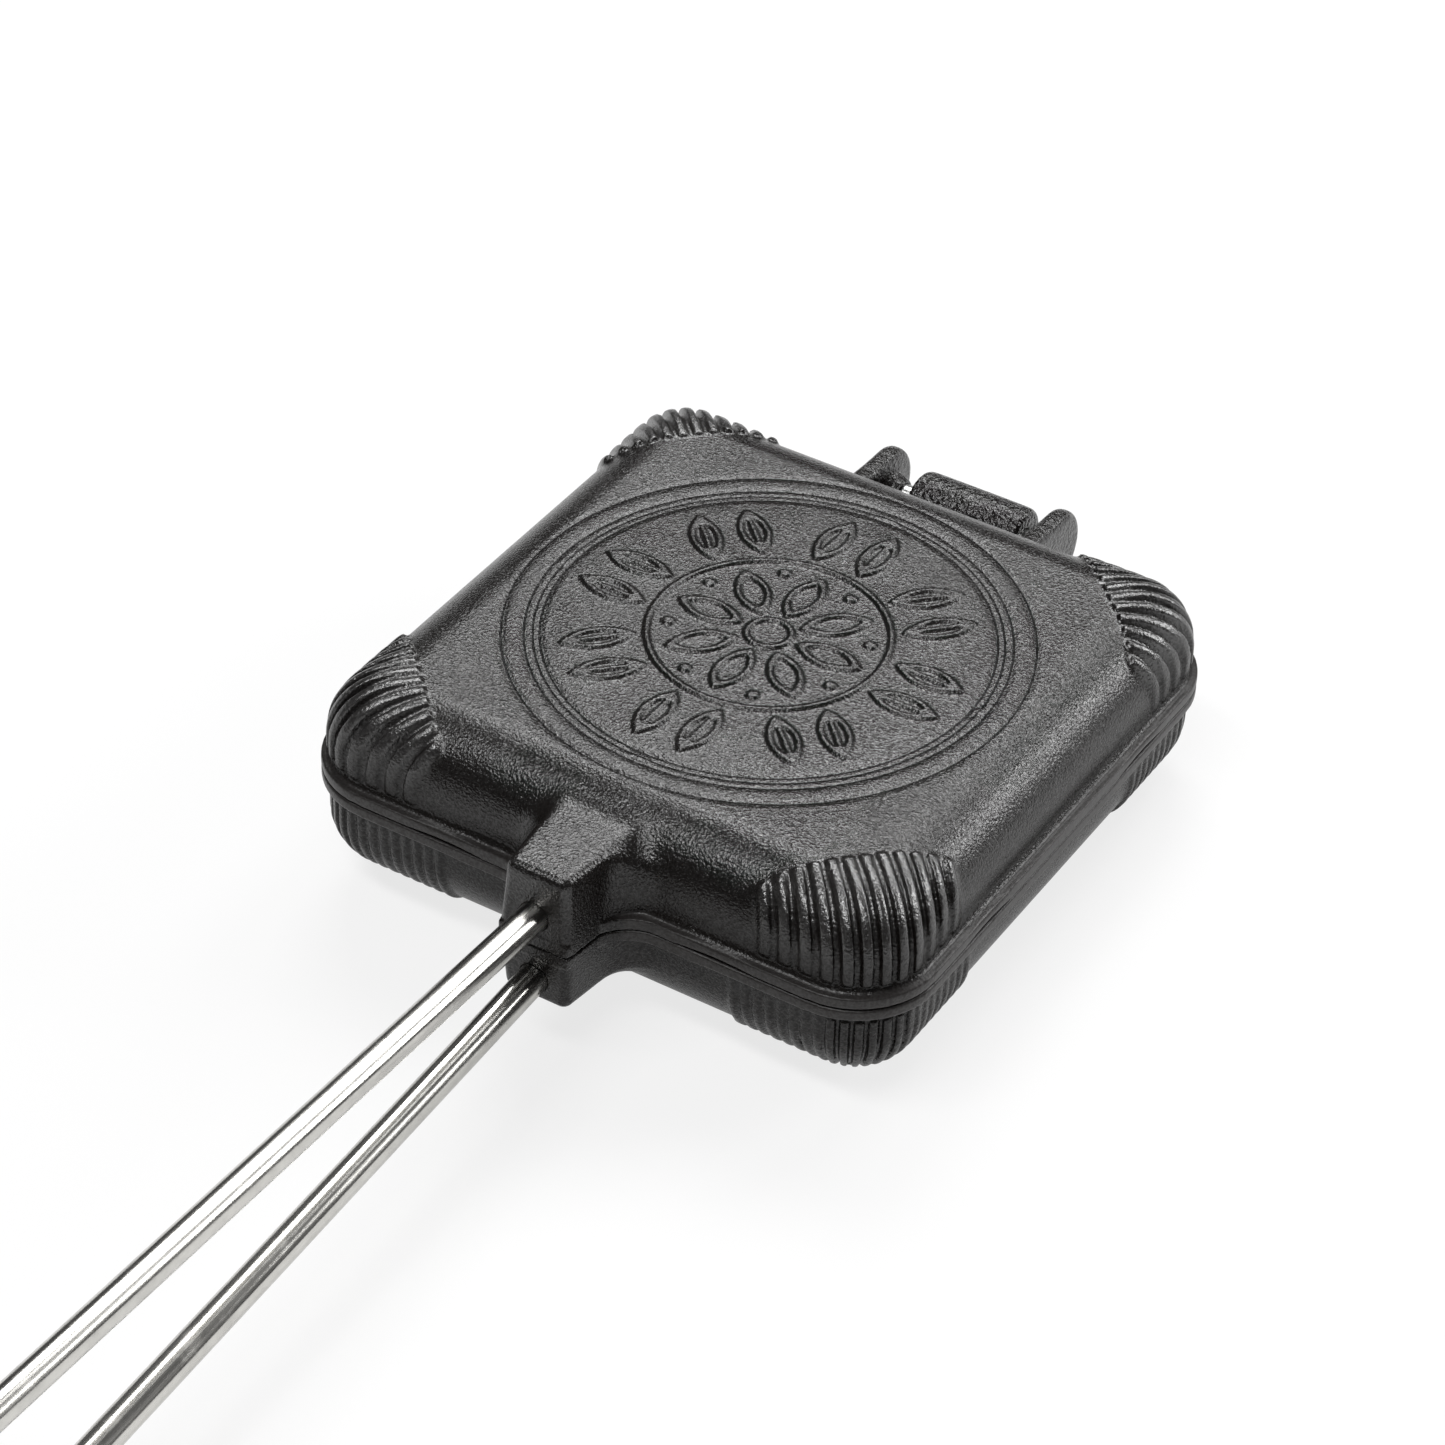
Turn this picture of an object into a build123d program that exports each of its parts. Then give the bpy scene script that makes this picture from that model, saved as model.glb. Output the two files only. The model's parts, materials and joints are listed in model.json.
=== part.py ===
from build123d import *
import math
import os

# Cast iron sandwich iron: two square pans hinged at the back, each on a long steel rod with a
# turned wooden grip. A wire bail on the upper handle swings under the lower one and locks the pans.
# Millimetres, +Z up, +Y from the handles to the hinge. The origin is the centre of the lower base.

# Pans
rim_side = 132.0
rim_corner_radius = 17.0
upper_depth = 19.9
lower_depth = 22.0
wall_thickness = 4.0
rim_overhang = 2.4
rim_height = 2.6
foot_width = 1.2
foot_height = 1.6
parting_gap = 0.3
shoulder_share = 0.96

# Ribs across the upper corners, and upright ribs round the lower ones
rib_pitches_per_side = 42
rib_width_share = 0.62
rib_height = 0.6
rib_corner_gain = 1.1
rib_count = 12
rib_step = 1.6
rib_fan = 1.1
rib_start_share = 0.8
arc_rib_count = 9
wall_rib_count = 7
lower_rib_height = 0.45

# Round frame of grooves and ornament on the upper pan, ring under the lower one
frame_groove_share = 0.3864
band_groove_shares = (0.353, 0.3402, 0.3303)
groove_width = 0.7
groove_depth = 0.5
relief_height = 0.55
relief_line = 0.95
hub_radius_share = 0.1
petal_start_share = 0.14
petal_length_share = 0.33
petal_width_share = 0.15
petal_count = 8
dot_ring_share = 0.45
dot_radius_share = 0.026
middle_ring_share = 0.54
leaf_start_share = 0.59
leaf_length_share = 0.34
leaf_width_share = 0.14
leaf_pairs = 8
leaf_lean = 12.0
leaf_vein_share = 0.62

# Sockets for the rods on the handle side
socket_reach = 14.7
socket_front_width = 15.2
socket_flare = 2.8
socket_taper = 3.5
socket_round = 2.0
socket_blend = 9.0
rim_blend = 10.0
upper_socket_height = 16.6
lower_socket_height = 13.7
socket_bore_depth = 16.5

# Hinge behind the pans
hinge_offset = 12.2
pin_radius = 2.5
pin_clearance = 0.05
pin_end_stand = 0.5
pin_blind_wall = 1.6
knuckle_radius = 6.8
knuckle_length = 25.0
knuckle_round = 0.8
knuckle_gap = 1.9
knuckle_shift = 1.3
web_drop = 11.0
boss_length = 3.2
boss_tip_radius = 3.5
boss_root_radius = 7.4
boss_waist_share = 0.3
arm_thickness = 4.2
arm_end_radius = 8.9
arm_root_height = 9.6
arm_round = 1.6

# Rods and handles
rod_radius = 3.0
upper_rod_height = 6.6
lower_rod_height = 8.1
upper_rod_slope = 2.4
lower_rod_slope = 3.5
free_rod_length = 350.0
ferrule_length = 13.0
ferrule_front_radius = 5.0
ferrule_back_radius = 8.8
grip_length = 108.0
grip_front_radius = 9.4
grip_middle_radius = 11.5
grip_back_radius = 10.0
grip_round = 2.5
washer_radius = 8.0
washer_thickness = 1.5
cap_radius = 7.0
cap_length = 18.0
cap_round = 3.0
rod_in_cap = 6.0

# Locking bail
latch_pin_radius = 2.0
latch_pin_setback = 11.0
latch_head_radius = 3.4
latch_head_thickness = 1.2
bail_wire_radius = 1.5
bail_eye_radius = 4.0
bail_eye_width = 3.4
bail_side_gap = 0.3
bail_reach = 75.0
bail_bend_radius = 3.0
bail_neck = 6.0
bail_grip_gap = 1.2
bail_shoulder = 16.0

# One overrun serves every cut and every root that is buried in a neighbour
overrun = 1.0

# Sizes that follow from the ones above
parting_height = lower_depth
half_gap = parting_gap / 2
rim_half = rim_side / 2
wall_half = rim_half - rim_overhang
wall_corner_radius = rim_corner_radius - rim_overhang
shoulder_radius = shoulder_share * wall_corner_radius
wall_middle = wall_half - wall_thickness / 2
rib_pitch = rim_side / rib_pitches_per_side
rib_width = rib_width_share * rib_pitch
arc_rib_turn = 90 / arc_rib_count
wall_rib_pitch = wall_corner_radius * math.radians(arc_rib_turn)
frame_groove_radius = frame_groove_share * rim_side
band_groove_radii = [share * rim_side for share in band_groove_shares]
base_ring_radius = band_groove_radii[-1]
half_diagonal = (wall_half - wall_corner_radius) * math.sqrt(2) + wall_corner_radius
socket_front = -rim_half - socket_reach
socket_root = -wall_half + shoulder_radius / 2
hinge_y = rim_half + hinge_offset
medallion_radius = base_ring_radius - groove_width / 2
boss_tip_x = knuckle_length / 2 + knuckle_gap
arm_inner_x = boss_tip_x + boss_length
arm_outer_x = arm_inner_x + arm_thickness
knuckle_start_x = knuckle_shift - knuckle_length / 2
pin_start_x = -arm_outer_x - pin_end_stand
pin_end_x = arm_outer_x - pin_blind_wall
ferrule_start = free_rod_length
grip_start = ferrule_start + ferrule_length
washer_start = grip_start + grip_length
cap_start = washer_start + washer_thickness
latch_axis_reach = cap_start + latch_pin_setback
rod_length = socket_bore_depth + cap_start + rod_in_cap

# A pan is built from the parting plane away from the other pan: up is +1 and down is -1
UP = 1
DOWN = -1
pan_depth = {UP: upper_depth, DOWN: lower_depth}
socket_height = {UP: upper_socket_height, DOWN: lower_socket_height}
rod_height = {UP: upper_rod_height, DOWN: lower_rod_height}
rod_slope = {UP: upper_rod_slope, DOWN: lower_rod_slope}


def level(side, height):
    """The plane at a height from the parting plane, on one side of it."""
    return Plane.XY.offset(parting_height + side * height)


def far_face(shape, side):
    """The face of a shape that lies furthest from the parting plane."""
    return shape.faces().sort_by(Axis.Z)[-1 if side == UP else 0]


def rounded_block(side, half, corner, depth, end_round):
    """A square block with round corners whose far edge is rounded over."""
    with BuildPart() as block:
        with BuildSketch(level(side, half_gap)):
            RectangleRounded(2 * half, 2 * half, corner)
        extrude(amount=side * (depth - half_gap))
        fillet(far_face(block, side).edges(), end_round)
    return block.part


def socket_plan(side, height, shrink):
    """The lug's plan at one height: narrow in front, wider where it runs into the pan."""
    front = socket_front + shrink
    front_half = socket_front_width / 2 - shrink
    root_half = front_half + socket_flare
    with BuildSketch(level(side, height)) as plan:
        with BuildLine():
            Polyline((-front_half, front), (front_half, front), (root_half, socket_root),
                     (-root_half, socket_root), close=True)
        make_face()
    return plan.sketch


def socket_block(side):
    """The drafted lug that takes the rod."""
    height = socket_height[side]
    shrink = (height - half_gap) * math.tan(math.radians(socket_taper))
    with BuildPart() as lug:
        loft([socket_plan(side, half_gap, 0), socket_plan(side, height, shrink)], ruled=True)
        front_edges = lug.faces().sort_by(Axis.Y)[0].edges()
        fillet(front_edges.filter_by(lambda e: abs(e.center().X) > socket_front_width / 4), socket_round)
        top_edges = far_face(lug, side).edges()
        fillet(top_edges.filter_by(lambda e: e.center().Y < socket_root - parting_gap), socket_round)
    return lug.part


def rim_outline(side):
    """The rim's plan: the square with its round corners, run into the sides of the socket."""
    with BuildSketch(level(side, half_gap)) as outline:
        RectangleRounded(2 * rim_half, 2 * rim_half, rim_corner_radius)
        with Locations((0, socket_front)):
            Rectangle(socket_front_width, socket_reach + wall_thickness, align=(Align.CENTER, Align.MIN))
        inside_corners = outline.vertices().filter_by(
            lambda v: abs(v.Y + rim_half) < parting_gap and abs(v.X) < socket_front_width)
        fillet(inside_corners, rim_blend)
    return outline.sketch


def slanting_ribs():
    """The plan of parallel ribs that run over each corner from a line across its diagonal."""
    rib_start = rib_start_share * half_diagonal
    rib_reach = half_diagonal - rib_start + rim_corner_radius
    with BuildSketch(level(UP, rim_height + rib_step)) as plan:
        with PolarLocations(0, 4, start_angle=45):
            for number in range(rib_count):
                place = number - (rib_count - 1) / 2
                with Locations(Location((rib_start, place * rib_pitch, 0), (0, 0, place * rib_fan))):
                    Rectangle(rib_reach, rib_width, align=(Align.MIN, Align.CENTER))
    return plan.sketch


def upright_ribs():
    """The plan of ribs that stand square to the wall, wedges round each corner and bars beside it."""
    centre = wall_half - wall_corner_radius
    tip = wall_corner_radius - shoulder_radius + overrun
    end = wall_corner_radius + overrun
    half_turn = math.radians(rib_width_share * arc_rib_turn / 2)
    with BuildSketch(level(DOWN, rim_height + rib_step)) as plan:
        with PolarLocations(centre * math.sqrt(2), 4, start_angle=45):
            for number in range(arc_rib_count):
                with Locations(Rotation(0, 0, (number + 1 / 2) * arc_rib_turn - 45)):
                    Polygon((tip * math.cos(half_turn), -tip * math.sin(half_turn)),
                            (end * math.cos(half_turn), -end * math.sin(half_turn)),
                            (end * math.cos(half_turn), end * math.sin(half_turn)),
                            (tip * math.cos(half_turn), tip * math.sin(half_turn)), align=None)
        with PolarLocations(0, 4):
            for number in range(wall_rib_count):
                place = centre - (number + 1 / 2) * wall_rib_pitch
                with Locations((centre + tip, place), (centre + tip, -place)):
                    Rectangle(end - tip, rib_width_share * wall_rib_pitch, align=(Align.MIN, Align.CENTER))
    return plan.sketch


def corner_ribs(side, plan, height, crown):
    """Ribs that stand by their height on the wall and by their crown on the far face, from their plan."""
    with BuildPart() as ribs:
        extrude(plan, amount=side * pan_depth[side], dir=(0, 0, 1))
        # The ribs' own edges are rounded less than the pan's, so they stand highest over its edges
        outside = rounded_block(side, wall_half + height, wall_corner_radius - rib_corner_gain,
                                pan_depth[side] + crown, shoulder_radius - rib_corner_gain)
        add(outside, mode=Mode.INTERSECT)
        # Each rib is rooted in the middle of the wall and stays out of the hollow
        root = wall_thickness / 2
        inside = rounded_block(side, wall_half - root, wall_corner_radius - root,
                               pan_depth[side] - root, shoulder_radius - root)
        add(inside, mode=Mode.SUBTRACT)
    return ribs.part


def ring_cut(side, radius):
    """A shallow round groove in the far face of a pan."""
    with BuildPart() as groove:
        with BuildSketch(level(side, pan_depth[side] - groove_depth)):
            Circle(radius + groove_width / 2)
            Circle(radius - groove_width / 2, mode=Mode.SUBTRACT)
        extrude(amount=side * (groove_depth + overrun))
    return groove.part


def lens_outline(length, width):
    """A pointed leaf drawn as a line: two arcs, and the same shape smaller cut out of it."""
    tip = relief_line * length / width
    with BuildSketch() as lens:
        with BuildLine():
            ThreePointArc((0, 0), (length / 2, width / 2), (length, 0))
            ThreePointArc((length, 0), (length / 2, -width / 2), (0, 0))
        make_face()
        inner = width / 2 - relief_line
        with BuildLine():
            ThreePointArc((tip, 0), (length / 2, inner), (length - tip, 0))
            ThreePointArc((length - tip, 0), (length / 2, -inner), (tip, 0))
        make_face(mode=Mode.SUBTRACT)
    return lens.sketch


def ornament():
    """Line relief in the round frame: an eight-petal rosette in a wreath of paired leaves."""
    size = medallion_radius
    petal = lens_outline(petal_length_share * size, petal_width_share * size)
    leaf = lens_outline(leaf_length_share * size, leaf_width_share * size)
    vein = leaf_vein_share * leaf_length_share * size
    leaf_count = 2 * leaf_pairs
    with BuildPart() as relief:
        with BuildSketch(level(UP, upper_depth - groove_depth)):
            Circle(middle_ring_share * size + relief_line / 2)
            Circle(middle_ring_share * size - relief_line / 2, mode=Mode.SUBTRACT)
            Circle(hub_radius_share * size + relief_line / 2)
            Circle(hub_radius_share * size - relief_line / 2, mode=Mode.SUBTRACT)
            with PolarLocations(petal_start_share * size, petal_count):
                add(petal)
            with PolarLocations(dot_ring_share * size, petal_count, start_angle=180 / petal_count):
                Circle(dot_radius_share * size)
            for number in range(leaf_count):
                lean = leaf_lean if number % 2 else -leaf_lean
                turn = math.radians((number + 1 / 2) * 360 / leaf_count)
                foot = (leaf_start_share * size * math.cos(turn), leaf_start_share * size * math.sin(turn), 0)
                with Locations(Location(foot, (0, 0, math.degrees(turn) + lean))):
                    add(leaf)
                    with Locations((leaf_length_share * size / 2, 0)):
                        Rectangle(vein, relief_line)
        extrude(amount=relief_height + groove_depth)
    return relief.part


def hollow(side):
    """The inside of a pan: its outside moved in by the wall, with the same centres of curvature."""
    depth = pan_depth[side] - wall_thickness
    with BuildPart() as space:
        with BuildSketch(level(side, -overrun)):
            inner_half = wall_half - wall_thickness
            RectangleRounded(2 * inner_half, 2 * inner_half, wall_corner_radius - wall_thickness)
        extrude(amount=side * (depth + overrun))
        fillet(far_face(space, side).edges(), shoulder_radius - wall_thickness)
    return space.part


def handle_plane(side, along):
    """The plane across a rod at a distance from the socket's front, looking out along the rod."""
    slope = math.radians(rod_slope[side])
    out = Vector(0, -math.cos(slope), side * math.sin(slope))
    mouth = Vector(0, socket_front, parting_height + side * rod_height[side])
    return Plane(origin=mouth + out * along, x_dir=(1, 0, 0), z_dir=out)


def plain_pan(side):
    """One pan before it is hollowed and ribbed: walls, rim and rod socket."""
    depth = pan_depth[side]
    with BuildPart() as body:
        add(rounded_block(side, wall_half, wall_corner_radius, depth, shoulder_radius))
        add(socket_block(side))
        seam = body.edges(Select.NEW).filter_by(
            lambda e: abs(e.center().X) < socket_front_width / 2 + socket_flare
            and -wall_half - parting_gap < e.center().Y < -wall_half + shoulder_radius)
        fillet(seam, socket_blend)
        extrude(rim_outline(side), amount=side * (rim_height - half_gap), dir=(0, 0, 1))
        with BuildSketch(level(side, rim_height - half_gap)):
            foot_half = wall_half + foot_width
            RectangleRounded(2 * foot_half, 2 * foot_half, wall_corner_radius + foot_width)
        foot_taper = math.degrees(math.atan(foot_width / foot_height))
        extrude(amount=side * foot_height, taper=foot_taper)
    return body.part


def hinge_axis_plane(x):
    """The plane across the hinge pin at a distance to the side: its own x is +Y and its y is +Z."""
    return Plane(origin=(x, 0, parting_height), x_dir=(0, 1, 0), z_dir=(1, 0, 0))


def hinge_disc(x, radius):
    """A round section on the hinge axis, at a distance to the side."""
    with BuildSketch(hinge_axis_plane(x)) as disc:
        with Locations((hinge_y, 0)):
            Circle(radius)
    return disc.sketch


def hinge_lug(x, thickness, root, end_radius):
    """A plate from a pan's wall to a round end on the hinge axis; root holds its corners at the wall."""
    with BuildPart() as plate:
        with BuildSketch(hinge_axis_plane(x)):
            with BuildLine():
                Polyline((wall_middle, root[0]), (rim_half + parting_gap, root[0]),
                         (hinge_y, -end_radius), (hinge_y, end_radius), (wall_middle, root[1]), close=True)
            make_face()
            with Locations((hinge_y, 0)):
                Circle(end_radius)
        extrude(amount=thickness)
        ends = plate.edges().filter_by(lambda e: e.center().Y > wall_half + overrun)
        fillet(ends.filter_by(lambda e: abs(e.tangent_at(0.5).X) < 0.5), arm_round)
    return plate.part


def hinge_boss(direction):
    """A boss round the pin that flares out in a hollow curve from the knuckle's end to an arm."""
    length = boss_length + arm_round
    flare = boss_root_radius - boss_tip_radius
    foot = boss_waist_share * flare
    with BuildPart() as boss:
        with BuildSketch(Plane(origin=(direction * boss_tip_x, hinge_y, parting_height),
                               x_dir=(direction, 0, 0), z_dir=(0, -direction, 0))):
            with BuildLine():
                ThreePointArc((0, boss_tip_radius), ((1 - boss_waist_share) * length, boss_tip_radius + foot),
                              (length, boss_root_radius))
                Polyline((length, boss_root_radius), (length, 0), (0, 0), (0, boss_tip_radius))
            make_face()
        revolve(axis=Axis((0, hinge_y, parting_height), (1, 0, 0)))
    return boss.part


def add_rod_socket(side):
    """The blind bore for the rod, cut in the part being built."""
    with BuildSketch(handle_plane(side, -socket_bore_depth)) as bore:
        Circle(rod_radius)
    extrude(bore.sketch, amount=socket_bore_depth + overrun, mode=Mode.SUBTRACT)


# Upper pan, with the hinge fork, the ornament and its round frame
with BuildPart() as upper_shell:
    add(plain_pan(UP))
    for direction in (1, -1):
        outer_face = arm_inner_x if direction == 1 else -arm_outer_x
        add(hinge_lug(outer_face, arm_thickness, (half_gap, arm_root_height), arm_end_radius))
        add(hinge_boss(direction))
    add(hollow(UP), mode=Mode.SUBTRACT)
    # The pin goes in from one side, and the other arm is closed on the outside
    extrude(hinge_disc(pin_start_x, pin_radius), amount=pin_end_x - pin_start_x, mode=Mode.SUBTRACT)
    add_rod_socket(UP)
    for radius in (frame_groove_radius, *band_groove_radii):
        add(ring_cut(UP, radius), mode=Mode.SUBTRACT)
    add([corner_ribs(UP, slanting_ribs(), rib_height, rib_height), ornament()])
upper_shell.part.label = "upper_shell"
export_step(upper_shell.part, "parts/upper_shell.step")

# Lower pan, with the hinge knuckle on its web
with BuildPart() as lower_shell:
    add(plain_pan(DOWN))
    with BuildSketch(hinge_axis_plane(knuckle_start_x)):
        with BuildLine():
            Polyline((wall_middle, -half_gap), (hinge_y, -half_gap), (hinge_y, -knuckle_radius + knuckle_round),
                     (wall_middle, -web_drop), close=True)
        make_face()
    extrude(amount=knuckle_length)
    with BuildPart(mode=Mode.PRIVATE) as knuckle:
        extrude(hinge_disc(knuckle_start_x, knuckle_radius), amount=knuckle_length)
        fillet(knuckle.edges().filter_by(GeomType.CIRCLE), knuckle_round)
    add(knuckle.part)
    add(ring_cut(DOWN, base_ring_radius), mode=Mode.SUBTRACT)
    add(hollow(DOWN), mode=Mode.SUBTRACT)
    extrude(hinge_disc(knuckle_start_x - overrun, pin_radius + pin_clearance),
            amount=knuckle_length + 2 * overrun, mode=Mode.SUBTRACT)
    add_rod_socket(DOWN)
    # The ribs end flush with the base, so that the iron stands on its flat face
    add(corner_ribs(DOWN, upright_ribs(), lower_rib_height, 0))
lower_shell.part.label = "lower_shell"
export_step(lower_shell.part, "parts/lower_shell.step")

# Hinge pin, pressed into the fork and free in the knuckle
with BuildPart() as hinge_pin:
    extrude(hinge_disc(pin_start_x, pin_radius), amount=pin_end_x - pin_start_x)
    chamfer(hinge_pin.faces().sort_by(Axis.X)[0].edges(), pin_end_stand)
hinge_pin.part.label = "hinge_pin"
export_step(hinge_pin.part, "parts/hinge_pin.step")


def turned(side, start, outline):
    """A turned piece on a rod; outline draws half its section, with x along the rod and y across."""
    base = handle_plane(side, start)
    with BuildPart() as piece:
        with BuildSketch(Plane(origin=base.origin, x_dir=base.z_dir, z_dir=base.x_dir)):
            with BuildLine():
                outline()
            make_face()
        revolve(axis=Axis(base.origin, base.z_dir))
    return piece.part


def ferrule_outline():
    """A cone with a short straight collar, bored for the rod."""
    collar = ferrule_length / 4
    Polyline((0, rod_radius), (0, ferrule_front_radius), (ferrule_length - collar, ferrule_back_radius),
             (ferrule_length, ferrule_back_radius), (ferrule_length, rod_radius), close=True)


def grip_outline():
    """A grip that swells in the middle, bored for the rod."""
    Line((0, rod_radius), (0, grip_front_radius))
    ThreePointArc((0, grip_front_radius), (grip_length / 2, grip_middle_radius), (grip_length, grip_back_radius))
    Polyline((grip_length, grip_back_radius), (grip_length, rod_radius), (0, rod_radius))


for name, side in (("upper", UP), ("lower", DOWN)):
    # Rod, pressed into the socket and through the handle
    with BuildPart() as rod:
        with BuildSketch(handle_plane(side, -socket_bore_depth)):
            Circle(rod_radius)
        extrude(amount=rod_length)
    rod.part.label = name + "_rod"
    export_step(rod.part, "parts/" + name + "_rod.step")

    # Ferrule in front of the grip
    with BuildPart() as ferrule:
        add(turned(side, ferrule_start, ferrule_outline))
    ferrule.part.label = name + "_ferrule"
    export_step(ferrule.part, "parts/" + name + "_ferrule.step")

    # Turned wooden grip
    with BuildPart() as grip:
        add(turned(side, grip_start, grip_outline))
        outer_ends = grip.edges().filter_by(GeomType.CIRCLE).filter_by(
            lambda e: e.radius > rod_radius + grip_round)
        fillet(outer_ends, grip_round)
    grip.part.label = name + "_grip"
    export_step(grip.part, "parts/" + name + "_grip.step")

    # Washer behind the grip
    with BuildPart() as washer:
        with BuildSketch(handle_plane(side, washer_start)):
            Circle(washer_radius)
            Circle(rod_radius, mode=Mode.SUBTRACT)
        extrude(amount=washer_thickness)
    washer.part.label = name + "_washer"
    export_step(washer.part, "parts/" + name + "_washer.step")

    # End cap on the rod's end; the upper one is drilled across for the bail's pin
    with BuildPart() as cap:
        with BuildSketch(handle_plane(side, cap_start)):
            Circle(cap_radius)
        extrude(amount=cap_length)
        fillet(cap.faces().sort_by(Axis.Y)[0].edges(), cap_round)
        with BuildSketch(handle_plane(side, cap_start - overrun)):
            Circle(rod_radius)
        extrude(amount=rod_in_cap + overrun, mode=Mode.SUBTRACT)
        if side == UP:
            pivot = handle_plane(UP, latch_axis_reach).origin
            with BuildSketch(Plane(origin=pivot, x_dir=(0, 1, 0), z_dir=(1, 0, 0))):
                Circle(latch_pin_radius)
            extrude(amount=cap_radius + overrun, both=True, mode=Mode.SUBTRACT)
    cap.part.label = name + "_end_cap"
    export_step(cap.part, "parts/" + name + "_end_cap.step")

# Pin across the upper end cap, with a head at each end that keeps the bail on
latch_pivot = handle_plane(UP, latch_axis_reach).origin
eye_inner_x = cap_radius + bail_side_gap
eye_outer_x = eye_inner_x + bail_eye_width
head_x = eye_outer_x + bail_side_gap
latch_plane = Plane(origin=latch_pivot, x_dir=(0, 1, 0), z_dir=(1, 0, 0))
with BuildPart() as latch_pin:
    with BuildSketch(latch_plane):
        Circle(latch_pin_radius)
    extrude(amount=head_x, both=True)
    for direction in (1, -1):
        with BuildSketch(latch_plane.offset(direction * head_x)):
            Circle(latch_head_radius)
        extrude(amount=direction * latch_head_thickness)
latch_pin.part.label = "latch_pin"
export_step(latch_pin.part, "parts/latch_pin.step")

# Wire bail, folded forward onto the upper grip; it swings back, down and under the lower handle
leg_x = grip_middle_radius + bail_grip_gap + bail_wire_radius
eye_x = (eye_inner_x + eye_outer_x) / 2
rest_height = grip_middle_radius + bail_side_gap + bail_wire_radius
fold = math.asin(rest_height / bail_reach) - math.radians(upper_rod_slope)
bail_direction = Vector(0, math.cos(fold), math.sin(fold))
bail_plane = Plane(origin=latch_pivot, x_dir=(1, 0, 0), z_dir=Vector(1, 0, 0).cross(bail_direction))
wire_start = (latch_pin_radius + pin_clearance + bail_eye_radius) / 2
with BuildPart() as latch_bail:
    with BuildLine(bail_plane) as wire_path:
        FilletPolyline((-eye_x, wire_start), (-eye_x, bail_neck), (-leg_x, bail_shoulder),
                       (-leg_x, bail_reach), (leg_x, bail_reach), (leg_x, bail_shoulder),
                       (eye_x, bail_neck), (eye_x, wire_start),
                       radius=bail_bend_radius)
    with BuildSketch(Plane(origin=wire_path.line @ 0, z_dir=wire_path.line % 0)):
        Circle(bail_wire_radius)
    sweep(path=wire_path.line)
    for direction in (1, -1):
        with BuildSketch(latch_plane.offset(direction * eye_inner_x)):
            Circle(bail_eye_radius)
        extrude(amount=direction * bail_eye_width)
        with BuildSketch(latch_plane.offset(direction * (eye_inner_x - overrun))):
            Circle(latch_pin_radius + pin_clearance)
        extrude(amount=direction * (bail_eye_width + 2 * overrun), mode=Mode.SUBTRACT)
latch_bail.part.label = "latch_bail"
export_step(latch_bail.part, "parts/latch_bail.step")
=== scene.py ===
import json
import math
from types import SimpleNamespace

import bpy
import numpy as np
from mathutils import Matrix, Vector

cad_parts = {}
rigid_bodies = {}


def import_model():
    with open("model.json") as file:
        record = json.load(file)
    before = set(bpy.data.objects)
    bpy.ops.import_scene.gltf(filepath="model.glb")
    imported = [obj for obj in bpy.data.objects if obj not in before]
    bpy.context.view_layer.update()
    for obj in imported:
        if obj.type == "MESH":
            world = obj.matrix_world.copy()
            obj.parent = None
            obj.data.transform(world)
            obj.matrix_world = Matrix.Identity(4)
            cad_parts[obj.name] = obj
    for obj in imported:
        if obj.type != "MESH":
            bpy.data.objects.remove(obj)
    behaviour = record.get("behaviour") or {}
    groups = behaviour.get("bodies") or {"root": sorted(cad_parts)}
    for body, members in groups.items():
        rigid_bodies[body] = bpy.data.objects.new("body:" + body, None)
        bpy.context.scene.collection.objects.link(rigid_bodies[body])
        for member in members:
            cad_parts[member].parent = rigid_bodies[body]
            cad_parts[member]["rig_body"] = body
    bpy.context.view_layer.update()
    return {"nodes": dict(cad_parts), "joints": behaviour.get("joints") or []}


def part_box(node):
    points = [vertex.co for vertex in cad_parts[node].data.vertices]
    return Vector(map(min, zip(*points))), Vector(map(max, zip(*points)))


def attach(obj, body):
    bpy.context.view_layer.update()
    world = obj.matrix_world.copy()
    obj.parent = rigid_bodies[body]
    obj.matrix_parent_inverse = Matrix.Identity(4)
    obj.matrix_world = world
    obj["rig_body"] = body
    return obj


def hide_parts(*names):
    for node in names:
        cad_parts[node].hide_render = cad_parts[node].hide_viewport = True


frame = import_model()
nodes = frame["nodes"]
joints = {joint["name"]: joint for joint in frame["joints"]}

MM = 0.001
PARTING = joints["pan_hinge"]["pos_m"][2]
# Half the side of a pan's rim, and where its band ends, measured from the parting plane
RIM_EDGE = 66.0 * MM
RIM_BAND, PAST_RIM_BAND = 2.5 * MM, 3.4 * MM
# How far to the front and back the pans reach, and where the hinge begins behind them
PAN_END, PAST_PAN_END = RIM_EDGE + 1.5 * MM, RIM_EDGE + 3 * MM
HINGE_START, HINGE_FULL = RIM_EDGE + 2 * MM, RIM_EDGE + 5 * MM
# The distance from the middle, along a pan's diagonal, at which the corner ribs begin
RIB_LINE = 66.0 * MM
# The lengths there over which the ribs rise and the corner's finish begins
RIB_RISE, CORNER_BLEND = 1.2 * MM, 2 * MM
# The ribs' distance from middle to middle there, and how much they spread for each metre beyond
RIB_PITCH = 3.143 * MM
RIB_FAN = math.tan(math.radians(1.1))
# Where the ribs fade out, counted in pitches from the corner's middle
LAST_RIB, PAST_LAST_RIB = 5.7, 6.2
# The heights between which the upper ribs rise out of the rim band
RIB_FOOT, RIB_FULL = PARTING + 3 * MM, PARTING + 5 * MM
# The distance from the middle of the pans to the plane of a face from which it counts as an outer one
OUTER_FACE = 4 * MM
# The upper pan's flat top and the grooves of its round frame, from the outermost inward
TOP = PARTING + 19.9 * MM
GROOVE_RADII = (51.0 * MM, 46.6 * MM, 44.9 * MM, 43.6 * MM)
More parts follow.
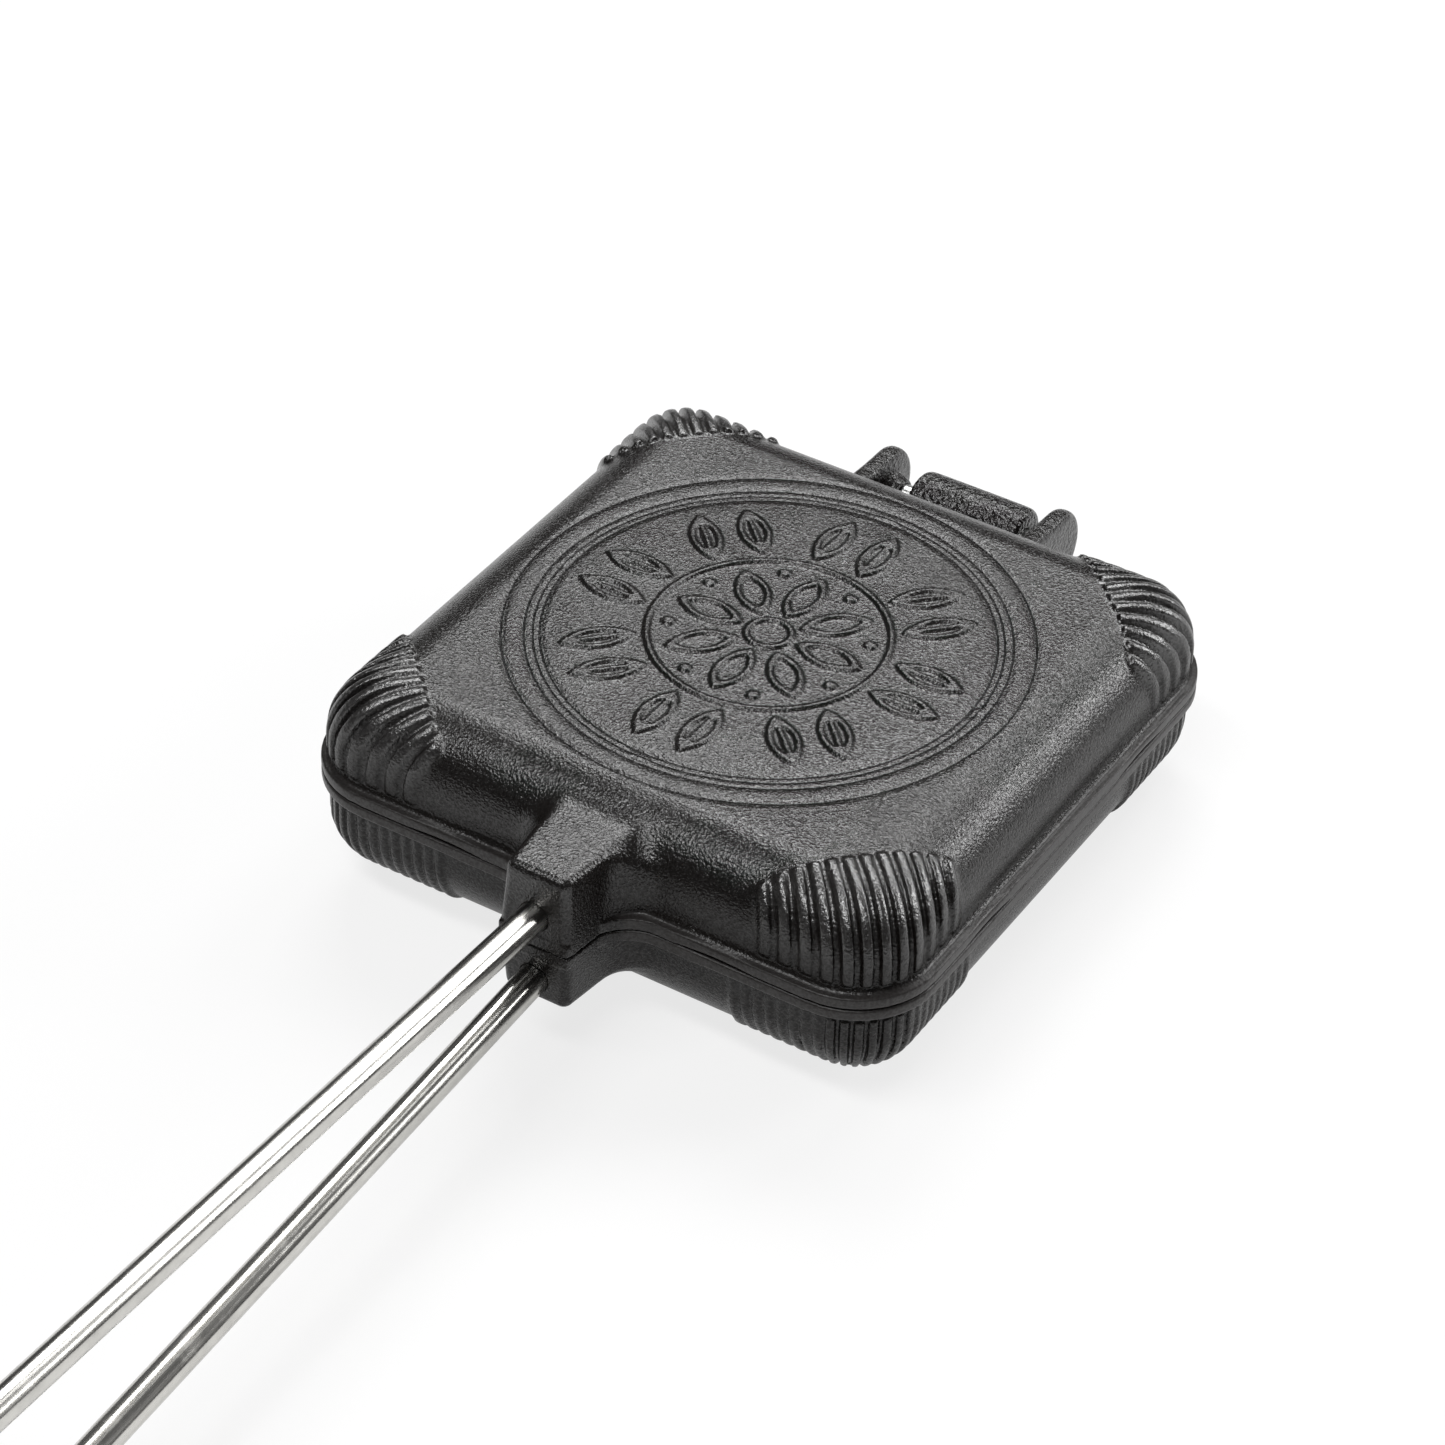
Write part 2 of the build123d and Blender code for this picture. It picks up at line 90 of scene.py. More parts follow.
# A groove's drawn line is full up to the first distance from its middle and gone at the second
LINE_FULL, LINE_END = 0.05 * MM, 0.22 * MM
# The heights between which the drawn lines begin
LINES_LOW, LINES_HIGH = TOP - 1.2 * MM, TOP - 0.8 * MM
ROD_DIAMETER = 6 * MM


class Shader:
    """A material's node tree with short calls for the nodes that are used here."""

    def __init__(self, name):
        self.material = bpy.data.materials.new(name)
        self.material.use_nodes = True
        self.tree = self.material.node_tree
        self.tree.nodes.clear()
        self.output = self.add("ShaderNodeOutputMaterial")
        self.surface = self.add("ShaderNodeBsdfPrincipled")
        self.link(self.surface.outputs["BSDF"], self.output.inputs["Surface"])

    def add(self, kind, **values):
        node = self.tree.nodes.new(kind)
        for key, value in values.items():
            setattr(node, key, value)
        return node

    def link(self, out_socket, in_socket):
        self.tree.links.new(out_socket, in_socket)

    def place(self, turn=(0, 0, 0), stretch=(1, 1, 1)):
        """Object coordinates in metres, turned and then stretched."""
        coordinates = self.add("ShaderNodeTexCoord").outputs["Object"]
        turned = self.add("ShaderNodeMapping", vector_type="POINT")
        turned.inputs["Rotation"].default_value = turn
        self.link(coordinates, turned.inputs["Vector"])
        stretched = self.add("ShaderNodeMapping", vector_type="POINT")
        stretched.inputs["Scale"].default_value = stretch
        self.link(turned.outputs["Vector"], stretched.inputs["Vector"])
        return stretched.outputs["Vector"]

    def noise(self, vector, scale, detail=2.0, rough=0.5, distort=0.0):
        node = self.add("ShaderNodeTexNoise")
        node.inputs["Scale"].default_value = scale
        node.inputs["Detail"].default_value = detail
        node.inputs["Roughness"].default_value = rough
        node.inputs["Distortion"].default_value = distort
        self.link(vector, node.inputs["Vector"])
        return node.outputs["Fac"]

    def voronoi(self, vector, scale):
        node = self.add("ShaderNodeTexVoronoi")
        node.inputs["Scale"].default_value = scale
        self.link(vector, node.inputs["Vector"])
        return node.outputs["Distance"]

    def spread(self, value, low, high, to_low=0.0, to_high=1.0):
        """Maps low..high of a value to to_low..to_high, smoothly and clamped."""
        node = self.add("ShaderNodeMapRange", interpolation_type="SMOOTHSTEP")
        node.inputs["From Min"].default_value = low
        node.inputs["From Max"].default_value = high
        node.inputs["To Min"].default_value = to_low
        node.inputs["To Max"].default_value = to_high
        self.link(value, node.inputs["Value"])
        return node.outputs["Result"]

    def math(self, operation, a, b=None):
        node = self.add("ShaderNodeMath", operation=operation)
        for socket, value in zip(node.inputs, (a, b)):
            if value is None:
                continue
            if isinstance(value, (int, float)):
                socket.default_value = value
            else:
                self.link(value, socket)
        return node.outputs["Value"]

    def mix(self, share, first, second):
        """Mixes two colours, each a tuple or a socket, by a share."""
        node = self.add("ShaderNodeMix", data_type="RGBA")
        for socket, value in ((node.inputs[0], share), (node.inputs[6], first), (node.inputs[7], second)):
            if isinstance(value, tuple):
                socket.default_value = (*value, 1.0)
            else:
                self.link(value, socket)
        return node.outputs[2]

    def bump(self, height, depth, strength=1.0, after=None):
        """A normal bumped by a height from 0 to 1 that stands for a depth, over an earlier normal."""
        node = self.add("ShaderNodeBump")
        node.inputs["Distance"].default_value = depth
        if isinstance(strength, float):
            node.inputs["Strength"].default_value = strength
        else:
            self.link(strength, node.inputs["Strength"])
        self.link(height, node.inputs["Height"])
        if after is not None:
            self.link(after, node.inputs["Normal"])
        return node.outputs["Normal"]

    def set(self, **values):
        """Sets sockets of the surface by name, with _ for a space."""
        for key, value in values.items():
            socket = self.surface.inputs[key.replace("_", " ")]
            if isinstance(value, tuple):
                socket.default_value = (*value, 1.0)
            elif isinstance(value, (int, float)):
                socket.default_value = value
            else:
                self.link(value, socket)


# Cast iron
# How many features each noise has in a metre
FINE_GRAIN, COARSE_GRAIN, HINGE_GRAIN = 3200.0, 1900.0, 1000.0
PITS, WAVES, PATCHES = 420.0, 90.0, 34.0
# The range in which most of a noise's values lie
NOISE_LOW, NOISE_HIGH = 0.3, 0.7
# The depths of the bumps, and how much of the grain each of the two noises makes
WAVE_DEPTH, LINE_DEPTH, RIB_DEPTH = 0.35 * MM, 0.25 * MM, 0.05 * MM
GRAIN_DEPTH, PIT_DEPTH, HINGE_DEPTH = 0.22 * MM, 0.05 * MM, 0.35 * MM
FINE_SHARE, COARSE_SHARE = 0.35, 0.6
# How strongly the waves and pits show, and where a pit's floor ends and its edge is in its cell
WAVE_STRENGTH, PIT_STRENGTH = 0.5, 0.25
PIT_FLOOR, PIT_EDGE = 0.04, 0.16
# How much of the grain the rim bands and the corners lose
RIM_SMOOTH, CORNER_SMOOTH = 0.7, 0.1
IRON_DARK, IRON_PALE = (0.0047, 0.0037, 0.0032), (0.0076, 0.0062, 0.0056)
# The rim bands' colour is a painted sheen, and the grooves' colour is painted shade
IRON_EDGE, IRON_RIM_SHEEN, IRON_GROOVE_SHADE = (0.028, 0.0255, 0.0245), (0.034, 0.031, 0.03), (0.003, 0.0024, 0.0022)
# How sharp an edge has to be to turn paler, from the first trace to the full share
EDGE_FIRST, EDGE_FULL, EDGE_SHARE = 0.53, 0.62, 0.55
# The shares of the rim bands' painted sheen and of the grooves' painted shade
RIM_SHEEN_SHARE, GROOVE_SHADE_SHARE = 0.6, 0.6
# The roughness that the grain gives, and what the patches, the rim bands and the ribs add to it
GRAIN_ROUGH, PATCH_ROUGH = (0.22, 0.27), (-0.015, 0.02)
RIM_DULL, RIB_DULL = 0.12, 0.05
# The reflections: how strong the grain leaves them, what a rib's crest adds and its valley loses of
# that, the least of them low on the pans, and the hinge's share
SHINE_LOW, SHINE_HIGH = 0.42, 0.84
CREST_SHINE, VALLEY_LOSS = 0.8, 0.3
LOW_SHINE, HINGE_SHINE = 0.52, 0.9
# The heights between which the crests' and the whole surface's reflections grow
CREST_LOW, CREST_HIGH = TOP - 13 * MM, TOP - 4 * MM
RUBBED_LOW, RUBBED_HIGH = TOP - 16 * MM, TOP - 3 * MM


def groove_lines(s, x, y, z):
    """1 in the grooves round the upper pan's ornament and 0 away from them."""
    radius = s.math("SQRT", s.math("ADD", s.math("MULTIPLY", x, x), s.math("MULTIPLY", y, y)))
    lines = 0.0
    for groove in GROOVE_RADII:
        apart = s.math("ABSOLUTE", s.math("SUBTRACT", radius, groove))
        lines = s.math("MAXIMUM", lines, s.spread(apart, LINE_FULL, LINE_END, 1.0, 0.0))
    return s.math("MULTIPLY", lines, s.spread(z, LINES_LOW, LINES_HIGH))


def facing_out(s):
    """1 where a face turns away from the pans' middle, and 0 in the hollows, where it turns inward."""
    coordinates = s.add("ShaderNodeTexCoord")
    from_middle = s.add("ShaderNodeVectorMath", operation="SUBTRACT")
    s.link(coordinates.outputs["Object"], from_middle.inputs[0])
    from_middle.inputs[1].default_value = (0, 0, PARTING)
    outward = s.add("ShaderNodeVectorMath", operation="DOT_PRODUCT")
    s.link(from_middle.outputs["Vector"], outward.inputs[0])
    s.link(coordinates.outputs["Normal"], outward.inputs[1])
    return s.spread(outward.outputs["Value"], 0.0, OUTER_FACE)


def rib_waves(s, x, y, z):
    """How high the upper corners' ribs stand, from 0 to 1, and a mask of where they are."""
    sideways, ahead = s.math("ABSOLUTE", x), s.math("ABSOLUTE", y)
    diagonal = s.math("MULTIPLY", s.math("ADD", sideways, ahead), math.sqrt(1 / 2))
    beyond = s.math("SUBTRACT", diagonal, RIB_LINE)
    across = s.math("MULTIPLY", s.math("ABSOLUTE", s.math("SUBTRACT", sideways, ahead)), math.sqrt(1 / 2))
    place = s.math("DIVIDE", across, s.math("ADD", s.math("MULTIPLY", beyond, RIB_FAN), RIB_PITCH))
    height = s.spread(s.math("COSINE", s.math("MULTIPLY", place, 2 * math.pi)), -1.0, 1.0, 1.0, 0.0)
    ribbed = s.spread(place, LAST_RIB, PAST_LAST_RIB, 1.0, 0.0)
    mask = s.math("MULTIPLY", s.spread(beyond, 0.0, RIB_RISE), ribbed)
    mask = s.math("MULTIPLY", mask, facing_out(s))
    return height, s.math("MULTIPLY", mask, s.spread(z, RIB_FOOT, RIB_FULL))


def iron_places(s, here):
    """A point's height, and masks from 0 to 1 of the places whose finish differs."""
    split = s.add("ShaderNodeSeparateXYZ")
    s.link(here, split.inputs["Vector"])
    x, y, z = (split.outputs[axis] for axis in "XYZ")
    from_parting = s.math("ABSOLUTE", s.math("SUBTRACT", z, PARTING))
    on_pans = s.spread(s.math("ABSOLUTE", y), PAN_END, PAST_PAN_END, 1.0, 0.0)
    rim = s.math("MULTIPLY", on_pans, s.spread(from_parting, RIM_BAND, PAST_RIM_BAND, 1.0, 0.0))
    sideways = s.math("ADD", s.math("ABSOLUTE", x), s.math("ABSOLUTE", y))
    corner = s.spread(sideways, RIB_LINE * math.sqrt(2), (RIB_LINE + CORNER_BLEND) * math.sqrt(2))
    rib_height, ribs = rib_waves(s, x, y, z)
    return SimpleNamespace(
        height=z, rim=rim, corner=s.math("MULTIPLY", corner, on_pans), lines=groove_lines(s, x, y, z),
        ribs=ribs, rib_height=rib_height, hinge=s.spread(y, HINGE_START, HINGE_FULL))


def iron_colour(s, at, patches):
    """Black iron in faint patches, with paler edges, a painted sheen on the rim bands and painted shade in
    the grooves.
    """
    tone = s.mix(s.spread(patches, NOISE_LOW, NOISE_HIGH), IRON_DARK, IRON_PALE)
    sharpness = s.add("ShaderNodeNewGeometry").outputs["Pointiness"]
    colour = s.mix(s.spread(sharpness, EDGE_FIRST, EDGE_FULL, 0.0, EDGE_SHARE), tone, IRON_EDGE)
    # The rim bands are painted paler, a painted sheen for the light that they reflect, and the grooves are
    # painted darker, a painted shade, as little light comes back out of a groove
    colour = s.mix(s.math("MULTIPLY", at.rim, RIM_SHEEN_SHARE), colour, IRON_RIM_SHEEN)
    return s.mix(s.math("MULTIPLY", at.lines, GROOVE_SHADE_SHARE), colour, IRON_GROOVE_SHADE)


def iron_roughness(s, at, coarse, patches):
    """Fairly glossy seasoning, duller on the rim bands and ribs."""
    rough = s.math("ADD", s.spread(coarse, NOISE_LOW, NOISE_HIGH, *GRAIN_ROUGH),
                   s.spread(patches, NOISE_LOW, NOISE_HIGH, *PATCH_ROUGH))
    duller = s.math("MAXIMUM", s.math("MULTIPLY", at.rim, RIM_DULL), s.math("MULTIPLY", at.ribs, RIB_DULL))
    return s.math("ADD", rough, duller)


def iron_shine(s, at, coarse):
    """The strength of reflections, which the grain breaks up and the ribs' crests raise."""
    # The grooves' painted shade also takes from their reflections
    open_share = s.math("SUBTRACT", 1.0, s.math("MULTIPLY", at.lines, GROOVE_SHADE_SHARE))
    shine = s.math("MULTIPLY", s.spread(coarse, NOISE_LOW, NOISE_HIGH, SHINE_LOW, SHINE_HIGH), open_share)
    valleys = s.math("MULTIPLY", at.ribs, s.math("SUBTRACT", 1.0, at.rib_height))
    crests = s.math("SUBTRACT", s.math("MULTIPLY", at.ribs, CREST_SHINE),
                    s.math("MULTIPLY", valleys, VALLEY_LOSS))
    crests = s.math("MULTIPLY", crests, s.spread(at.height, CREST_LOW, CREST_HIGH))
    # The top and the hinge are rubbed and oiled the most
    rubbed = s.math("MAXIMUM", s.spread(at.height, RUBBED_LOW, RUBBED_HIGH, LOW_SHINE, 1.0),
                    s.math("MULTIPLY", at.hinge, HINGE_SHINE))
    return s.math("MULTIPLY", s.math("ADD", shine, crests), rubbed)


def iron_relief(s, here, at, coarse):
    """The normal of the cast surface, with its waves, grooves, ribs, sand grain and pits."""
    fine = s.noise(here, FINE_GRAIN, detail=1.0)
    grain = s.math("ADD", s.math("MULTIPLY", fine, FINE_SHARE), s.math("MULTIPLY", coarse, COARSE_SHARE))
    smoother = s.math("MAXIMUM", s.math("MULTIPLY", at.rim, RIM_SMOOTH),
                      s.math("MULTIPLY", at.corner, CORNER_SMOOTH))
    pits = s.spread(s.voronoi(here, PITS), PIT_FLOOR, PIT_EDGE)
    normal = s.bump(s.noise(here, WAVES), WAVE_DEPTH, WAVE_STRENGTH)
    normal = s.bump(s.math("SUBTRACT", 1.0, at.lines), LINE_DEPTH, 1.0, normal)
    normal = s.bump(at.rib_height, RIB_DEPTH, at.ribs, normal)
    normal = s.bump(grain, GRAIN_DEPTH, s.math("SUBTRACT", 1.0, smoother), normal)
    normal = s.bump(pits, PIT_DEPTH, PIT_STRENGTH, normal)
    # The hinge is cast the roughest
    return s.bump(s.noise(here, HINGE_GRAIN, detail=1.0), HINGE_DEPTH, at.hinge, normal)


def cast_iron():
    """Seasoned black cast iron: sand-cast grain, smoother on the rim bands beside the parting plane."""
    s = Shader("cast_iron_seasoned")
    here = s.place()
    at = iron_places(s, here)
    coarse = s.noise(here, COARSE_GRAIN, detail=1.0)
    patches = s.noise(here, PATCHES, detail=3.0, rough=0.6)
    s.set(Base_Color=iron_colour(s, at, patches), Metallic=0.0,
          Roughness=iron_roughness(s, at, coarse, patches),
          Specular_IOR_Level=iron_shine(s, at, coarse),
          Normal=iron_relief(s, here, at, coarse))
    return s.material


# Steel and wood
# The lines drawn along or round each steel piece: how many in a metre along X, Y and Z, and how deep
ROD_LINES, FITTING_LINES = (1400, 9, 1400), (240, 2600, 240)
PIN_LINES, BAIL_LINES = (2600, 240, 240), (300, 300, 300)
STEEL_LINE_DEPTH = 0.01 * MM
# How many faint marks the steel has in a metre, the share of its tone that they keep, and the
# roughness that they add
STEEL_MARKS, MARK_TONE, MARK_DULL = 140.0, 0.86, 0.08
ROD_TONE, FITTING_TONE, PIN_TONE = (0.62, 0.61, 0.58), (0.55, 0.55, 0.54), (0.6, 0.6, 0.59)
ROD_ROUGH, FITTING_ROUGH = (0.14, 0.3), (0.26, 0.4)
PIN_ROUGH, BAIL_ROUGH = (0.22, 0.38), (0.16, 0.3)
# How many bands, flecks and broad patches the wood has in a metre across the grain, and the share
# of that along it
WOOD_BANDS, WOOD_FLECKS, WOOD_PATCHES = 190.0, 1500.0, 45.0
BAND_STRETCH, FLECK_STRETCH = (1, 0.045, 1), (1, 0.09, 1)
FLECK_DEPTH = 0.05 * MM
WOOD_DARK, WOOD_PALE = (0.36, 0.18, 0.075), (0.52, 0.295, 0.14)
FLECK_TONE, PATCH_TONE = (0.17, 0.078, 0.034), (0.42, 0.2, 0.08)
# How much of their own tone the flecks and the patches have, and the roughness over the bands
FLECK_SHARE, PATCH_SHARE = 0.6, 0.35
WOOD_ROUGH = (0.42, 0.54)


def steel(name, tone, roughness, line_counts, turn=(0, 0, 0)):
    """Bright steel with fine lines that run the way their count is smallest."""
    s = Shader(name)
    lines = s.noise(s.place(turn, line_counts), 1.0, detail=3.0, rough=0.6)
    marks = s.noise(s.place(), STEEL_MARKS, detail=3.0, rough=0.6)
    rough = s.math("ADD", s.spread(lines, 0.25, 0.75, *roughness),
                   s.spread(marks, 0.5, 0.75, 0.0, MARK_DULL))
    colour = s.mix(s.spread(marks, 0.35, 0.7), tone, tuple(MARK_TONE * part for part in tone))
    s.set(Base_Color=colour, Metallic=1.0, Roughness=rough, Normal=s.bump(lines, STEEL_LINE_DEPTH, 0.6))
    return s.material


def wood(name, turn):
    """Oiled beech with long grain, dark flecks and faint growth bands."""
    s = Shader(name)
    along = s.place(turn, BAND_STRETCH)
    bands = s.noise(along, WOOD_BANDS, detail=3.0, rough=0.55, distort=0.4)
    flecks = s.noise(s.place(turn, FLECK_STRETCH), WOOD_FLECKS)
    patches = s.noise(along, WOOD_PATCHES)
    colour = s.mix(s.spread(bands, 0.35, 0.66), WOOD_DARK, WOOD_PALE)
    colour = s.mix(s.spread(flecks, 0.6, 0.72, 0.0, FLECK_SHARE), colour, FLECK_TONE)
    colour = s.mix(s.spread(patches, 0.4, 0.7, 0.0, PATCH_SHARE), colour, PATCH_TONE)
    rough = s.spread(bands, NOISE_LOW, NOISE_HIGH, *WOOD_ROUGH)
    normal = s.bump(flecks, FLECK_DEPTH, 0.5)
    s.set(Base_Color=colour, Metallic=0.0, Roughness=rough, Specular_IOR_Level=0.4, Normal=normal)
    return s.material


def dress(obj, material):
    obj.data.materials.clear()
    obj.data.materials.append(material)


def rod_turn(half):
    """The turn about X that lays a rod along Y, read from its ends."""
    low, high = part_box(half + "_rod")
    size = high - low
    angle = math.atan2(size.z - ROD_DIAMETER, size.y)
    return (angle if half == "upper" else -angle, 0, 0)


# Castings
# The size of the remeshed cells, the share of the faces that is kept, and the passes of smoothing
CELL, KEPT_SHARE, RIB_PASSES = 0.3 * MM, 0.25, 14
EDGE_PASSES, END_PASSES = 2, 5 * RIB_PASSES
GROOVE_PASSES, FLARE_PASSES = 2 * RIB_PASSES, 6 * RIB_PASSES
# The outer ribs fade in steps, round a line this far beyond the ribs' start. The last step is the
# nearest to that line and the farthest from the corner's middle.
END_LINE, END_REACH, END_START = 1.5 * MM, 2 * MM, 9 * MM
END_STEPS, END_SPREAD = (0.25, 0.5, 0.75, 1.0), 5 * MM
# How far beyond its grooves the round frame is smoothed, and how deep
FRAME_MARGIN, FRAME_DEPTH = 1.2 * MM, 2 * MM
# The upper socket's top runs out into the pan's shoulder at these two corners, one on each side:
# their place, how far they reach round it, and how deep below the top
FLARE_X, FLARE_Y = 11 * MM, 60 * MM
FLARE_REACH_X, FLARE_REACH_Y, FLARE_DEPTH = 6 * MM, 8 * MM, 14 * MM


def apply_modifiers(obj):
    """Replaces an object's mesh by what its modifiers make of it."""
    bpy.context.view_layer.update()
    old = obj.data
    made = bpy.data.meshes.new_from_object(obj.evaluated_get(bpy.context.evaluated_depsgraph_get()))
    obj.modifiers.clear()
    obj.data = made
    bpy.data.meshes.remove(old)
    made.name = obj.name


def smooth(obj, passes, group=""):
    modifier = obj.modifiers.new("smooth", "SMOOTH")
    modifier.factor = 0.5
    modifier.iterations = passes
    modifier.vertex_group = group


def smooth_where(obj, group_name, layers, passes):
    """Smooths some vertices. Each layer is a mask of them and the weight that they get."""
    group = obj.vertex_groups.new(name=group_name)
    for mask, weight in layers:
        group.add(np.nonzero(mask)[0].tolist(), weight, "REPLACE")
    smooth(obj, passes, group_name)


def round_places(piece):
    """Smooths the places of a casting that are rounder than the rest."""
    count = len(piece.data.vertices)
    points = np.empty(3 * count)
    piece.data.vertices.foreach_get("co", points)
    points = points.reshape(count, 3)
    front = points[:, 1] < 0
    x, y, z = np.abs(points).T
    diagonal = (x + y) / math.sqrt(2)
    across = np.abs(x - y) / math.sqrt(2)
    radius = np.hypot(x, y)
    # The ribs over the corners are rounder, and the outer ones fade at their ends
    smooth_where(piece, "ribs", [(diagonal > RIB_LINE, 1.0)], RIB_PASSES)
    ends = []
    for step in END_STEPS:
        near = np.abs(diagonal - RIB_LINE - END_LINE) < END_REACH + END_SPREAD * (1 - step)
        outer = across > END_START + END_SPREAD * step
        ends.append((near & outer & (z > PARTING), step))
    smooth_where(piece, "ends", ends, END_PASSES)
    # The shader draws the thin grooves of the round frame, so their wider cut is nearly levelled
    framed = (radius > GROOVE_RADII[-1] - FRAME_MARGIN) & (radius < GROOVE_RADII[0] + FRAME_MARGIN)
    smooth_where(piece, "grooves", [(framed & (z > TOP - FRAME_DEPTH), 1.0)], GROOVE_PASSES)
    # The upper socket's corners melt into the shoulder
    flare = front & (np.abs(x - FLARE_X) < FLARE_REACH_X) & (np.abs(y - FLARE_Y) < FLARE_REACH_Y)
    smooth_where(piece, "flare", [(flare & (z > TOP - FLARE_DEPTH), 1.0)], FLARE_PASSES)


def soften(node):
    """A copy of a casting with its edges, ribs and relief rounded as a sand mould leaves them."""
    source = nodes[node]
    piece = bpy.data.objects.new(node + "_cast", source.data.copy())
    bpy.context.scene.collection.objects.link(piece)
    remesh = piece.modifiers.new("remesh", "REMESH")
    remesh.mode = "VOXEL"
    remesh.voxel_size = CELL
    smooth(piece, EDGE_PASSES)
    apply_modifiers(piece)
    round_places(piece)
    reduce = piece.modifiers.new("reduce", "DECIMATE")
    reduce.ratio = KEPT_SHARE
    apply_modifiers(piece)
    piece.data.polygons.foreach_set("use_smooth", [True] * len(piece.data.polygons))
    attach(piece, source["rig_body"])
    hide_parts(node)
    return piece


iron = cast_iron()
for name in ("upper_shell", "lower_shell"):
    dress(soften(name), iron)

for half in ("upper", "lower"):
    turn = rod_turn(half)
    dress(nodes[half + "_rod"], steel(half + "_rod_steel", ROD_TONE, ROD_ROUGH, ROD_LINES, turn))
    fitting = steel(half + "_fitting_steel", FITTING_TONE, FITTING_ROUGH, FITTING_LINES, turn)
    for part in ("_ferrule", "_washer", "_end_cap"):
        dress(nodes[half + part], fitting)
    dress(nodes[half + "_grip"], wood(half + "_grip_wood", turn))
pin = steel("pin_steel", PIN_TONE, PIN_ROUGH, PIN_LINES)
dress(nodes["hinge_pin"], pin)
dress(nodes["latch_pin"], pin)
dress(nodes["latch_bail"], steel("bail_steel", PIN_TONE, BAIL_ROUGH, BAIL_LINES))


# Camera
AZIMUTH, ELEVATION, ROLL = (math.radians(angle) for angle in (30.825, 38.376, 1.897))
DISTANCE = 880.6 * MM
TARGET = Vector((-5.85 * MM, -6.36 * MM, PARTING))
# In millimetres, as a camera's makers give them, and the nearest thing it sees in metres
SENSOR_WIDTH, FOCAL_LENGTH = 36.0, 114.04
NEAREST = 0.02


def place_camera():
    """The photograph's view of the closed pans."""
    back = Vector((math.sin(AZIMUTH) * math.cos(ELEVATION), -math.cos(AZIMUTH) * math.cos(ELEVATION),
                   math.sin(ELEVATION)))
    level = (-back).cross(Vector((0, 0, 1))).normalized()
    upright = level.cross(-back)
    right = math.cos(ROLL) * level + math.sin(ROLL) * upright
    up = -math.sin(ROLL) * level + math.cos(ROLL) * upright
    data = bpy.data.cameras.new("camera")
    data.sensor_width = SENSOR_WIDTH
    data.lens = FOCAL_LENGTH
    data.clip_start = NEAREST
    camera = bpy.data.objects.new("camera", data)
    turned = Matrix((right, up, back)).transposed().to_4x4()
    camera.matrix_world = Matrix.Translation(TARGET + back * DISTANCE) @ turned
    bpy.context.scene.collection.objects.link(camera)
    bpy.context.scene.camera = camera


# Floor, world and lamps
# The back edge of the iron's base, and the place from the grip's end where the grip touches
BASE_EDGE_Y = 49.6 * MM
GRIP_TOUCH = 8 * MM
# Half the floor's size in metres, its gap below the iron and the half width of its rounded crest
FLOOR_REACH = 40.0
FLOOR_GAP = 0.05 * MM
CROWN = 8 * MM
FLOOR_TONE = (0.86, 0.86, 0.86)
# The share of plain white in the floor that the camera sees. Reflections see the second share of
# that, up to a distance in metres from which it fades to the third.
SEEN_WHITE, NEAR_WHITE, FAR_WHITE = 0.78, 0.55, 0.2
WHITE_REACH, WHITE_END = 0.5, 1.4
WORLD_LEVEL = 0.08
LAMP_AIM = Vector((0, 0, 20 * MM))


def pale_floor():
    """A pale floor that keeps shadows, with plain white mixed in for the camera and reflections."""
    s = Shader("pale_floor")
    s.set(Base_Color=FLOOR_TONE, Roughness=0.9, Specular_IOR_Level=0.2)
    path = s.add("ShaderNodeLightPath")
    bounced = s.math("MAXIMUM", path.outputs["Is Glossy Ray"], path.outputs["Is Transmission Ray"])
    apart = s.add("ShaderNodeVectorMath", operation="LENGTH")
    s.link(s.place(), apart.inputs[0])
    near = s.spread(apart.outputs["Value"], WHITE_REACH, WHITE_END, NEAR_WHITE, FAR_WHITE)
    seen = s.math("MAXIMUM", path.outputs["Is Camera Ray"], s.math("MULTIPLY", bounced, near))
    glow = s.add("ShaderNodeEmission")
    glow.inputs["Color"].default_value = (1, 1, 1, 1)
    blend = s.add("ShaderNodeMixShader")
    s.link(s.math("MULTIPLY", seen, SEEN_WHITE), blend.inputs[0])
    s.link(s.surface.outputs["BSDF"], blend.inputs[1])
    s.link(glow.outputs["Emission"], blend.inputs[2])
    s.link(blend.outputs["Shader"], s.output.inputs["Surface"])
    return s.material


